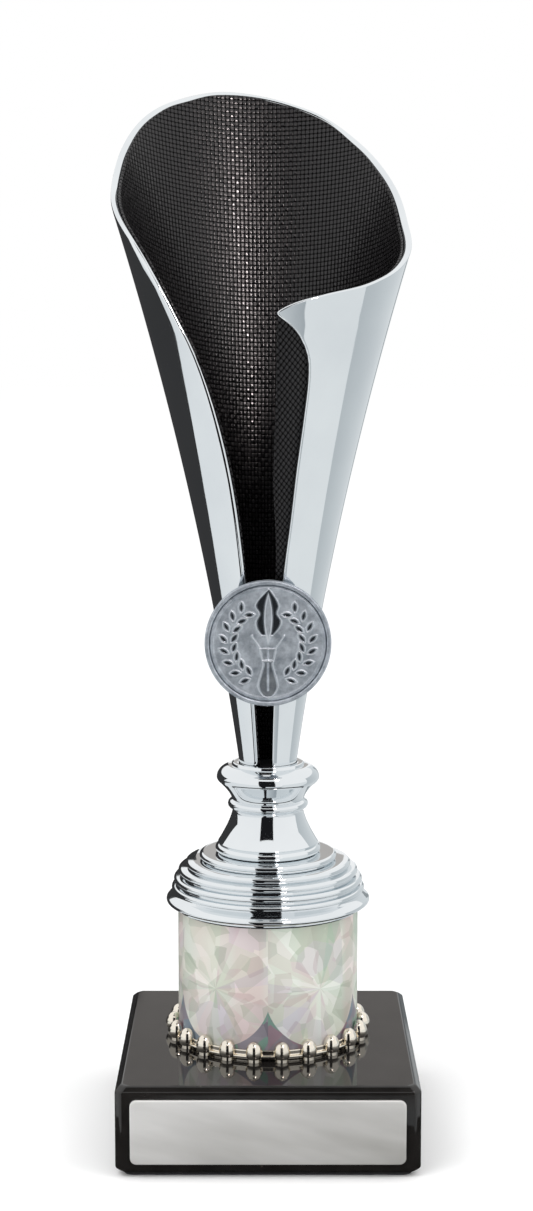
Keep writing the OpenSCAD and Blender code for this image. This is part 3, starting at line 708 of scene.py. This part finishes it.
def make_flat_plate(name, node, material, corner, edge, facing):
    """Thin plate with round corners: its outline carried along a short edge profile whose front
    corner is bevelled, and drawn in to the middle on both faces."""
    low, high = node_box(node)
    centre = (low + high) / 2
    size = high - low
    flat_axes = (0, 2) if facing == "front" else (0, 1)
    deep_axis = 1 if facing == "front" else 2
    width, height, thick = size[flat_axes[0]], size[flat_axes[1]], size[deep_axis]
    loops = []
    for inset, level in [(height / 2, 0), (1.2, 0), (0, 0), (0, thick - edge),
                         (edge * 0.3, thick - edge * 0.3), (edge, thick), (edge + 0.25, thick),
                         (height / 2, thick)]:
        inset = min(inset, height / 2)
        radius = max(corner - inset, 0)
        x, y = max(width / 2 - inset - radius, 0), max(height / 2 - inset - radius, 0)
        outline = round_cornered(x, y, radius)
        loops.append(np.column_stack([outline, np.full(len(outline), level)]))
    grid = np.array(loops).transpose(1, 0, 2)
    made = np.zeros_like(grid)
    made[..., 0] = centre[0] + grid[..., 0]
    if facing == "front":
        made[..., 1] = high[1] - grid[..., 2]
        made[..., 2] = centre[2] + grid[..., 1]
    else:
        made[..., 1] = centre[1] + grid[..., 1]
        made[..., 2] = low[2] + grid[..., 2]
    piece(name, material, [made], node, sharp=60)


# ---- Column ----

BEAD_R = 1.75
BEAD_H = 4.1
BEAD_COUNT = 22
BEAD_PITCH_R = FOIL_R + SLIP_GAP + 0.85


def make_bead_collar():
    """Turned cup that holds the column, with a ring of egg-shaped beads: each bead is a turned egg
    set on the pitch circle, its back pressed flat against the column."""
    band_r = FOIL_R + SLIP_GAP
    floor, rail_low, band_top, spigot_top = 1.2, 0.75, 2.2, 5.2
    foot_r, rail_r, band_out_r = BEAD_PITCH_R - 0.7, BEAD_PITCH_R + 0.5, band_r + 0.7
    cup = rounded([
        [ROD_HOLE_R, 0], [foot_r, 0], [foot_r, rail_low], [rail_r, rail_low], [rail_r, floor],
        [band_out_r, floor], [band_out_r, band_top], [band_r, band_top], [band_r, floor],
        [SPIGOT_R, floor], [SPIGOT_R, spigot_top], [SPIGOT_R - WALL, spigot_top],
        [SPIGOT_R - WALL, floor], [ROD_HOLE_R, floor]], 0.2)
    cup[:, 1] += BASE_TOP
    foot_z, widest_z = 0.02, BEAD_H * 0.42
    egg = np.vstack([
        [[0, foot_z], [BEAD_R * 0.78, foot_z]],
        arc((0, widest_z), (BEAD_R, BEAD_H * 0.40), -42, 0, 5),
        arc((0, widest_z), (BEAD_R, BEAD_H * 0.58), 7, 90, 12),
    ])
    egg[-1, 0] = 0
    bead = turned(egg, steps=28, closed=False)
    patches = [turned(cup, steps=176)]
    for i in range(BEAD_COUNT):
        turn = (i + 0.5) * TURN / BEAD_COUNT
        out = -(bead[..., 1] - BEAD_PITCH_R)
        side = bead[..., 0]
        reach = np.hypot(out, side)
        kept = np.maximum(reach, band_r + 0.03) / reach
        out, side = out * kept, side * kept
        x = side * math.cos(turn) + out * math.sin(turn)
        y = side * math.sin(turn) - out * math.cos(turn)
        patches.append(np.stack([x, y, bead[..., 2] + BASE_TOP], -1))
    piece("bead_collar_nickelled", NICKEL, patches, "bead_collar", sharp=40)


def make_column_film():
    """Film wrapped round the tube: a thin turned sleeve whose flat coordinates are the distance
    round it from the front and the height above the middle of the starbursts."""
    low, high = FOIL_LOW[2], FOIL_HIGH[2]
    burst_z = (low + high) / 2 - 0.6
    inner_r = TUBE_R + 0.01
    loop = np.array([[FOIL_R, low], [FOIL_R, high], [inner_r, high], [inner_r, low], [FOIL_R, low]])
    angle = np.linspace(-math.pi, math.pi, 193)[:, None]
    rise = np.linspace(0, 1, 9)
    patches = []
    for a, b in zip(loop[:-1], loop[1:]):
        profile = a + (b - a) * rise[:, None]
        radius, z = profile[None, :, 0], profile[None, :, 1] + 0 * angle
        grid = np.stack([radius * np.sin(angle), -radius * np.cos(angle), z], -1)
        flat = np.stack([FOIL_R * angle + 0 * z, z - burst_z], -1)
        patches.append((grid, flat))
    piece("column_film", FILM, patches, "column_foil")


CAP_STEPS = [[1.5, 3.6], [1.05, 5.4], [0.1, 7.2], [-1.4, 8.7], [-4.3, 10.3]]
CAP_RING_T = 1.3
CAP_GROOVE = 0.8


def make_stepped_cap():
    """Turned cap: a lip over the column, a rolled flange, five stepped half-round rings with
    grooves between, and a hollow underside with the spigot that sits in the tube."""
    lip_r = FOIL_R + SLIP_GAP + 0.45
    flange_r, flange_z, flange_half = TUBE_R + 2.6, 1.1, (0.75, 0.62)
    half = CAP_RING_T / 2
    outer = [[lip_r - 0.12, -0.5], [lip_r, -0.38], [lip_r, 0.1]]
    outer += arc((flange_r - flange_half[0], flange_z), flange_half, -90, 62, 14).tolist()
    first_r = TUBE_R + CAP_STEPS[0][0]
    outer += [[first_r + 0.1, 1.98], [first_r - 0.35, 2.3], [first_r - CAP_GROOVE + 0.1, 2.62]]
    for i, (out, up) in enumerate(CAP_STEPS):
        ring_r = TUBE_R + out
        outer += [[ring_r - CAP_GROOVE, up - half - 0.1]]
        outer += arc((ring_r - half, up), (half, half), -82, 82, 12).tolist()
        if i + 1 < len(CAP_STEPS):
            outer += [[TUBE_R + CAP_STEPS[i + 1][0] - CAP_GROOVE + 0.05, up + half + 0.06]]
    top = CAP_STEPS[-1][1] + half
    neck_r = TUBE_R + CAP_STEPS[-1][0] - CAP_GROOVE
    ceiling, spigot_foot, film_r = top - 2.9, -5, FOIL_R + SLIP_GAP
    outer += [[neck_r - 0.4, top]]
    inner = [[ROD_HOLE_R, top], [ROD_HOLE_R, ceiling], [neck_r - WALL, ceiling],
             [SPIGOT_R - WALL, CAP_STEPS[0][1]], [SPIGOT_R - WALL, spigot_foot],
             [SPIGOT_R, spigot_foot], [SPIGOT_R, 0], [film_r, 0], [film_r, -0.5]]
    profile = np.array(outer + inner)
    profile[:, 1] += CAP_Z
    piece("stepped_cap_chromed", CHROME, [turned(profile, steps=192)], "stepped_cap", sharp=50)


# ---- Stem ----

STEM_FOOT_R = 10.9
STEM_FOOT_H = 8.9
STEM_WAIST_R = 7.35
STEM_BEAD_R = 8.3
STEM_BULGE_R = 10.6
STEM_TOP_H = 10.05
CUP_SOCKET = 3.5


def make_stem():
    """Turned stem: a round-edged foot, a flare that falls to the waist as a power of the height, a
    small bead, a cove up to the wide ring, a domed shoulder and a collar round the cup's foot."""
    foot_z = STEM_HIGH[2] - STEM_FOOT_H - STEM_TOP_H
    top = STEM_FOOT_H + STEM_TOP_H
    edge_r, bead_half, dome_w, dome_h = 0.9, 0.9, 2.9, 2.55
    flare_z, bead_z, neck_z, bulge_z = 1.8, STEM_FOOT_H + 1.3, STEM_FOOT_H + 2.3, top - 3.2
    q = np.linspace(0, 1, 19)[1:]
    flare = np.column_stack([
        STEM_WAIST_R + (STEM_FOOT_R - 0.3 - STEM_WAIST_R) * (1 - q) ** 1.4,
        flare_z + (STEM_FOOT_H - flare_z) * q])
    cove_q = np.linspace(0, 1, 15)
    cove = np.column_stack([
        STEM_WAIST_R + 0.13 + (STEM_BULGE_R - 0.43 - STEM_WAIST_R) * cove_q ** 1.5,
        neck_z + (bulge_z - 0.7 - neck_z) * cove_q])
    socket_r = cup_radius(STEM_HIGH[2]) + SLIP_GAP
    collar_r = socket_r + WALL
    outer = np.vstack([
        arc((STEM_FOOT_R - edge_r, edge_r), (edge_r, edge_r), -90, 78, 12),
        flare,
        arc((STEM_BEAD_R - bead_half, bead_z), (bead_half, bead_half), -72, 72, 10),
        cove,
        arc((STEM_BULGE_R - dome_w, bulge_z), (dome_w, dome_h), -4, 84, 16),
        [[collar_r + 0.05, top - 0.62], [collar_r, top - 0.5], [collar_r, top - 0.2],
         [collar_r - 0.06, top - 0.06], [collar_r - 0.2, top], [socket_r + 0.15, top],
         [socket_r + 0.03, top - 0.05], [socket_r, top - 0.2]],
    ])
    pocket_r, pocket_z, hollow_top = 4.75, top - CUP_SOCKET - 4.2, STEM_FOOT_H / 2
    inner = np.array([
        [socket_r, top - CUP_SOCKET], [pocket_r, top - CUP_SOCKET], [pocket_r, pocket_z],
        [ROD_HOLE_R, pocket_z], [ROD_HOLE_R, hollow_top], [STEM_WAIST_R - WALL, hollow_top],
        [STEM_WAIST_R - WALL, 0]])
    profile = np.vstack([outer, inner])
    profile[:, 1] += foot_z
    piece("stem_chromed", CHROME, [turned(profile, steps=160)], "stem", sharp=50)


# ---- Cup ----

def make_cup_shell():
    """Chromed outer wall of the rolled cone."""
    patches = rolled_sheet(FLAP_CURVE, 0, CUP_Z, LEFT_ANGLE, 0, SHELL_T, 1.7)
    piece("cup_shell_chromed", CHROME, patches, "cup_shell", sharp=60)


def make_cup_liner():
    """Woven inner wall, a little short of the rim and slightly uneven along its cut edge."""
    patches = rolled_sheet(LINER_CURVE, LINER_DROP, CUP_Z + 3.2, LEFT_ANGLE - 1, SHELL_T + 0.05,
                           LINER_T, LINER_T / 2, ragged=0.12)
    piece("cup_liner_woven", LINER, patches, "cup_liner", sharp=60)


# ---- Medallion ----

MEDAL_Z = (HOLDER_HIGH[2] + HOLDER_LOW[2]) / 2
HOLDER_R = (HOLDER_HIGH[2] - HOLDER_LOW[2]) / 2
HOLDER_T = 2.2
HOLDER_BACK = -HOLDER_LOW[1] - HOLDER_T
HOLDER_RIM = 0.9
MEDAL_R = MEDAL_HIGH[0]
MEDAL_T = 0.9
MEDAL_SEAT = -MEDAL_HIGH[1] - HOLDER_BACK


def make_medallion_holder():
    """Turned dish with a rolled rim that faces the front, and a saddle: a round-cornered block
    drawn back to the cone and hollowed to its curve, a tape's thickness clear of it."""
    rim_inner = HOLDER_R - HOLDER_RIM
    dish = rounded([
        [0, 0], [HOLDER_R, 0], [HOLDER_R, HOLDER_T], [rim_inner, HOLDER_T],
        [rim_inner, MEDAL_SEAT], [0, MEDAL_SEAT]], 0.38, steps=6, closed=False)
    body = facing_front(turned(dish, steps=144, closed=False), HOLDER_BACK)
    width, height, corner, sunk, tape_t = 14.0, 12.0, 1.5, 0.05, 0.2
    outline = round_cornered(width / 2 - corner, height / 2 - corner, corner)
    loops = [np.column_stack([outline[:, 0] * s, np.full(len(outline), -HOLDER_BACK - sunk),
                              MEDAL_Z + outline[:, 1] * s]) for s in (0.0, 0.5, 1.0)]
    for s in (1.0, 0.8, 0.6, 0.4, 0.2, 0.0):
        across, z = outline[:, 0] * s, MEDAL_Z + outline[:, 1] * s
        depth = np.sqrt((cup_radius(z) + tape_t) ** 2 - across ** 2)
        loops.append(np.column_stack([across, -depth, z]))
    saddle = np.array(loops).transpose(1, 0, 2)
    piece("medallion_holder_cast", HOLDER, [body, saddle], "medallion_holder", sharp=45)


def leaf_distance(x, z, base_x, base_z, direction, length, width):
    """Distance outside a lens-shaped leaf, negative inside: the larger of the distances to the two
    circles whose overlap the leaf is, in coordinates turned along the leaf."""
    cosine, sine = math.cos(direction), math.sin(direction)
    along = (x - base_x) * cosine + (z - base_z) * sine - length / 2
    across = (z - base_z) * cosine - (x - base_x) * sine
    radius = (length ** 2 + width ** 2) / (4 * width)
    offset = radius - width / 2
    return np.maximum(np.hypot(across + offset, along), np.hypot(across - offset, along)) - radius


# Half width of the torch's parts at each height above the medallion's middle
GRIP = np.array([
    [-11.0, 0.0], [-10.7, 0.9], [-9.7, 1.7], [-8.4, 2.0], [-6.5, 1.55], [-4.6, 1.0], [-3.6, 0.95]])
FLAME = np.array([
    [1.5, 1.1], [3.0, 2.2], [4.4, 2.5], [5.9, 1.8], [7.4, 2.35], [8.6, 1.9], [10.0, 0.8], [10.9, 0.0]])


def medal_relief(x, z):
    """Height of the design above the ground, in millimetres, and its painted light tone: raised lines
    painted lighter as a painted highlight and recesses darker as painted shade. Each shape is a distance
    field: a narrow bell on its outline is the raised line and a soft step inside it the recess.
    The shapes are two branches of paired leaves and a torch with its flame."""
    wreath = np.full(x.shape, FAR)
    wreath_r = MEDAL_R * 0.665
    for side in (-1, 1):
        for turn in np.radians(np.linspace(24, 136, 8)):
            base_x, base_z = wreath_r * math.sin(turn), -wreath_r * math.cos(turn)
            for lean in (-44, 40):
                direction = turn + math.radians(lean)
                start_x = base_x + 0.42 * math.cos(direction)
                start_z = base_z + 0.42 * math.sin(direction)
                leaf = leaf_distance(side * x, z, start_x, start_z, direction, 2.35, 1.12)
                wreath = np.minimum(wreath, leaf)
    grip = np.maximum(np.abs(x) - smooth(GRIP, z), np.maximum(-11.0 - z, z + 3.6))
    socket = np.maximum(np.abs(x) - (1.15 + 0.45 * np.clip((z + 3.5) / 2.4, 0, 1)),
                        np.maximum(-3.5 - z, z + 1.1))
    bowl = np.abs(np.abs(x) - (1.5 + 1.7 * np.clip((z + 1.1) / 2.5, 0, 1)))
    bowl = np.maximum(bowl, np.maximum(-1.1 - z, z - 1.5)) - 0.02
    flame = np.maximum(np.abs(x + 0.15 * np.sin(z)) - smooth(FLAME, z), np.maximum(1.5 - z, z - 10.9))
    tongue = leaf_distance(x, z, 0.05, 0.2, math.radians(90), 9.6, 1.5)
    line_half, line_high, recess_deep, soft = 0.14, 0.24, 0.16, 0.05
    height = np.zeros(x.shape)
    painted_light_tone = np.zeros(x.shape)
    shapes = [(wreath, 0.8), (grip, 0.35), (socket, 0.2), (bowl, 0.0), (flame, 1.0)]
    for distance, depth in shapes:
        line = np.exp(-(distance / line_half) ** 2)
        inside = 1 / (1 + np.exp(np.clip((distance + 0.22) / soft, -30, 30)))
        height += line_high * line - recess_deep * depth * inside
        # The tone paints a highlight on each raised line and shade in each recess.
        painted_light_tone += line - depth * inside
    ridge = np.exp(-(tongue / 0.15) ** 2)
    body = 1 / (1 + np.exp(np.clip((tongue + 0.15) / soft, -30, 30)))
    open_share = 1 - np.clip(ridge + body, 0, 1)
    height = height * open_share + line_high * ridge + 0.1 * body
    painted_light_tone = painted_light_tone * open_share + ridge + 0.3 * body
    centre_line = np.exp(-(x / line_half) ** 2) * (z > -9.6) * (z < -1.1)
    height += 0.14 * centre_line
    painted_light_tone += 0.5 * centre_line
    return np.clip(height, -0.18, 0.34), np.clip(painted_light_tone, -1, 1)


def make_medallion():
    """Cast disc: a square grid pressed into a circle carries the design's height field on its
    front, and its border loop is carried back round the edge and drawn in to the middle."""
    count = 281
    side = np.linspace(-1, 1, count)
    u, v = np.meshgrid(side, side, indexing="ij")
    radius = MEDAL_R - 0.12
    x = radius * u * np.sqrt(1 - v ** 2 / 2)
    z = radius * v * np.sqrt(1 - u ** 2 / 2)
    height, painted_light_tone = medal_relief(x, z)
    from_edge = MEDAL_R - np.hypot(x, z)
    height = height * np.clip((from_edge - 0.3) / 0.3, 0, 1)
    dish = 0.10 * np.exp(-((from_edge - 0.55) / 0.22) ** 2)
    front = MEDAL_T + height + dish
    face = np.stack([x, z, front], -1)
    border = np.concatenate([face[:-1, 0], face[-1, :-1], face[:0:-1, -1], face[0, ::-1]])
    rows = [border]
    for scale, level in [(MEDAL_R / radius, MEDAL_T - 0.12), (MEDAL_R / radius, 0.05),
                         (0.6, 0.0), (0.0, 0.0)]:
        rows.append(np.column_stack([border[:, :2] * scale, np.full(len(border), level)]))
    edge = np.array(rows).transpose(1, 0, 2)
    back = HOLDER_BACK + MEDAL_SEAT
    patches = [facing_front(face, back), facing_front(edge, back)]
    piece("medallion_relief", MEDAL, patches, "medallion", sharp=80,
          painted_light_tone=[painted_light_tone, np.zeros(edge.shape[:2])])


make_base_block()
make_flat_plate("base_felt_sheet", "base_felt", FELT, 2.0, 0.15, "up")
make_flat_plate("nameplate_satin", "nameplate", PLATE, 1.3, 0.18, "front")
make_bead_collar()
make_column_film()
make_stepped_cap()
make_stem()
make_cup_shell()
make_cup_liner()
make_medallion_holder()
make_medallion()

for node, material in {
        "column_tube": TUBE, "tie_rod": ZINC, "base_washer": ZINC, "base_lock_washer": ZINC,
        "base_nut": ZINC, "stem_nut": ZINC, "cup_plug": PLUG, "nameplate_tape": TAPE,
        "medallion_tape": TAPE}.items():
    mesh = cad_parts[node].data
    mesh.materials.clear()
    mesh.materials.append(material)


# ---- Studio ----

def studio_object(name, points, material):
    """Object of the studio from a grid of points in millimetres, with the shares across and along
    the grid as its flat coordinates."""
    rows, columns = points.shape[:2]
    faces = grid_faces(rows, columns)
    shares = np.stack(np.meshgrid(np.linspace(0, 1, rows), np.linspace(0, 1, columns), indexing="ij"), -1)
    mesh = bpy.data.meshes.new(name)
    mesh.from_pydata((points.reshape(-1, 3) * MM).tolist(), [], faces.tolist())
    layer = mesh.uv_layers.new(name="flat")
    layer.data.foreach_set("uv", shares.reshape(-1, 2)[faces.reshape(-1)].astype(np.float32).ravel())
    mesh.materials.append(material)
    obj = bpy.data.objects.new(name, mesh)
    bpy.context.scene.collection.objects.link(obj)
    return obj


def disc(radii, z, steps):
    """Flat round grid of points at a height, with rings of the given radii. Radii that fall give
    faces that point up."""
    angle = np.linspace(0, TURN, steps + 1)[:, None]
    radius = np.array(radii)
    return np.stack([radius * np.cos(angle), radius * np.sin(angle), z + 0 * radius * angle], -1)


def light_card(name, points, left, right, strength=1.0):
    """Glowing card that only mirrors see, from one colour at its left edge to another at its right."""
    material, tree = new_material(name)
    flat = add(tree, "ShaderNodeUVMap", uv_map="flat").outputs["UV"]
    share = add(tree, "ShaderNodeSeparateXYZ", {"Vector": flat})
    shade = add(tree, "ShaderNodeValToRGB", {"Fac": share.outputs["X"]}, [(0.0, left), (1.0, right)])
    glow = add(tree, "ShaderNodeEmission", {"Color": shade.outputs["Color"], "Strength": strength})
    add(tree, "ShaderNodeOutputMaterial", {"Surface": glow.outputs["Emission"]})
    obj = studio_object(name, points, material)
    obj.visible_camera = False
    obj.visible_diffuse = False
    obj.visible_shadow = False


CARD_Z = 100


def card(name, left_edge, right_edge, bottom, top, colours, strength=1.0, distance=900.0):
    """Curved light card round the trophy. Its edges are angles from the front, each given at the
    bottom and at the top, and its bottom and top are elevations in degrees above the card height."""
    across, up = np.meshgrid(np.linspace(0, 1, 13), np.linspace(0, 1, 7), indexing="ij")
    left = left_edge[0] + (left_edge[1] - left_edge[0]) * up
    right = right_edge[0] + (right_edge[1] - right_edge[0]) * up
    angle = np.radians(left + (right - left) * across)
    z = CARD_Z + distance * np.tan(np.radians(bottom + (top - bottom) * up))
    points = np.stack([distance * np.sin(angle), -distance * np.cos(angle), z], -1)
    light_card(name, points, colours[0], colours[1], strength)


card("card_camera_side", (-14, -24), (17, 16), -60, 41, ("#1c1c1e", "#1c1c1e"), distance=930)
card("card_upper_dark", (-34, -34), (34, 34), 58, 80, ("#242324", "#242324"), distance=950)
card("card_low_front", (-9, -4), (36, 36), -62, -24, ("#dfe3e5", "#aeb4b8"), distance=860)
card("card_right_light", (32, 32), (98, 98), -66, 0, ("#eceff0", "#ebeeef"), distance=910)
card("card_right_grey", (96, 97), (170, 170), -62, 20, ("#c2c8cb", "#e4e8ea"))
card("card_right_line", (160, 160), (165, 165), -62, 10, ("#989ea1", "#989ea1"), distance=890)
card("card_left_white", (-172, -172), (-14, -16), -62, 0, ("#e6eaec", "#f2f4f5"), distance=940)
card("card_left_dark", (-150, -150), (-134, -89), -34, -7, ("#39393a", "#39393a"), distance=880)
card("card_left_edge", (-175, -175), (-132, -104), -34, 12, ("#39393a", "#39393a"), distance=885)
card("card_behind", (174, 174), (186, 186), 8, 34, ("#bab6b3", "#bab6b3"), distance=960)

# Narrow warm lamp close to the trophy, from one height to another
STRIP_R = 172.0
STRIP_Z = (258, 345)
strip_low, strip_high = (math.degrees(math.atan((z - CARD_Z) / STRIP_R)) for z in STRIP_Z)
card("card_strip_light", (23, 23), (31, 31), strip_low, strip_high, ("#fff2f0", "#fff2f0"), 50.0, STRIP_R)
# Dark disc just below the floor, for the undersides that mirror it: painted shade standing for the shaded
# floor round the foot.
light_card("card_under_painted_shade", disc([75.0, 0.0], -2.0, 48), "#1a1a1a", "#1a1a1a")


def make_floor():
    """Large pale disc under the trophy, wide enough that no edge shows, and that mirrors don't see."""
    material, tree = new_material("pale_floor")
    finished(material, {"Base Color": linear("#ffffff"), "Roughness": 1.0, "Specular IOR Level": 0.0})
    floor = studio_object("floor", disc([4000.0, 400.0, 0.0], 0.0, 64), material)
    floor.visible_glossy = False


make_floor()

world = bpy.data.worlds.new("studio")
world.use_nodes = True
world.node_tree.nodes.clear()
sky = add(world.node_tree, "ShaderNodeBackground", {"Color": linear("#ffffff"), "Strength": 1.0})
add(world.node_tree, "ShaderNodeOutputWorld", {"Surface": sky.outputs["Background"]})
bpy.context.scene.world = world


def area_light(name, place, size, power):
    """Soft square lamp at a place in millimetres, aimed at the middle of the trophy."""
    light = bpy.data.lights.new(name, "AREA")
    light.shape = "SQUARE"
    light.size = size * MM
    light.energy = power
    obj = bpy.data.objects.new(name, light)
    bpy.context.scene.collection.objects.link(obj)
    place = np.array(place) * MM
    aim = np.array([0.0, 0.0, 0.1]) - place
    flat = math.hypot(aim[0], aim[1])
    obj.location = place
    obj.rotation_euler = (math.atan2(flat, -aim[2]), 0.0, math.atan2(-aim[0], aim[1]))
    obj.visible_glossy = False


area_light("soft_overhead_left", (-500, -500, 900), 500, 3.0)
area_light("soft_overhead_right", (600, -300, 800), 400, 1.5)

# Camera: lens in millimetres, place, and degrees that it looks down
LENS = 67.18
CAMERA_PLACE = (-0.3, -458.57, 170.39)
CAMERA_PITCH = 7.698
camera_data = bpy.data.cameras.new("camera")
camera_data.lens = LENS
camera_data.sensor_width = 36.0
camera = bpy.data.objects.new("camera", camera_data)
bpy.context.scene.collection.objects.link(camera)
camera.location = np.array(CAMERA_PLACE) * MM
camera.rotation_euler = (math.radians(90 - CAMERA_PITCH), 0.0, 0.0)
bpy.context.scene.camera = camera
bpy.context.scene.view_settings.view_transform = "Standard"
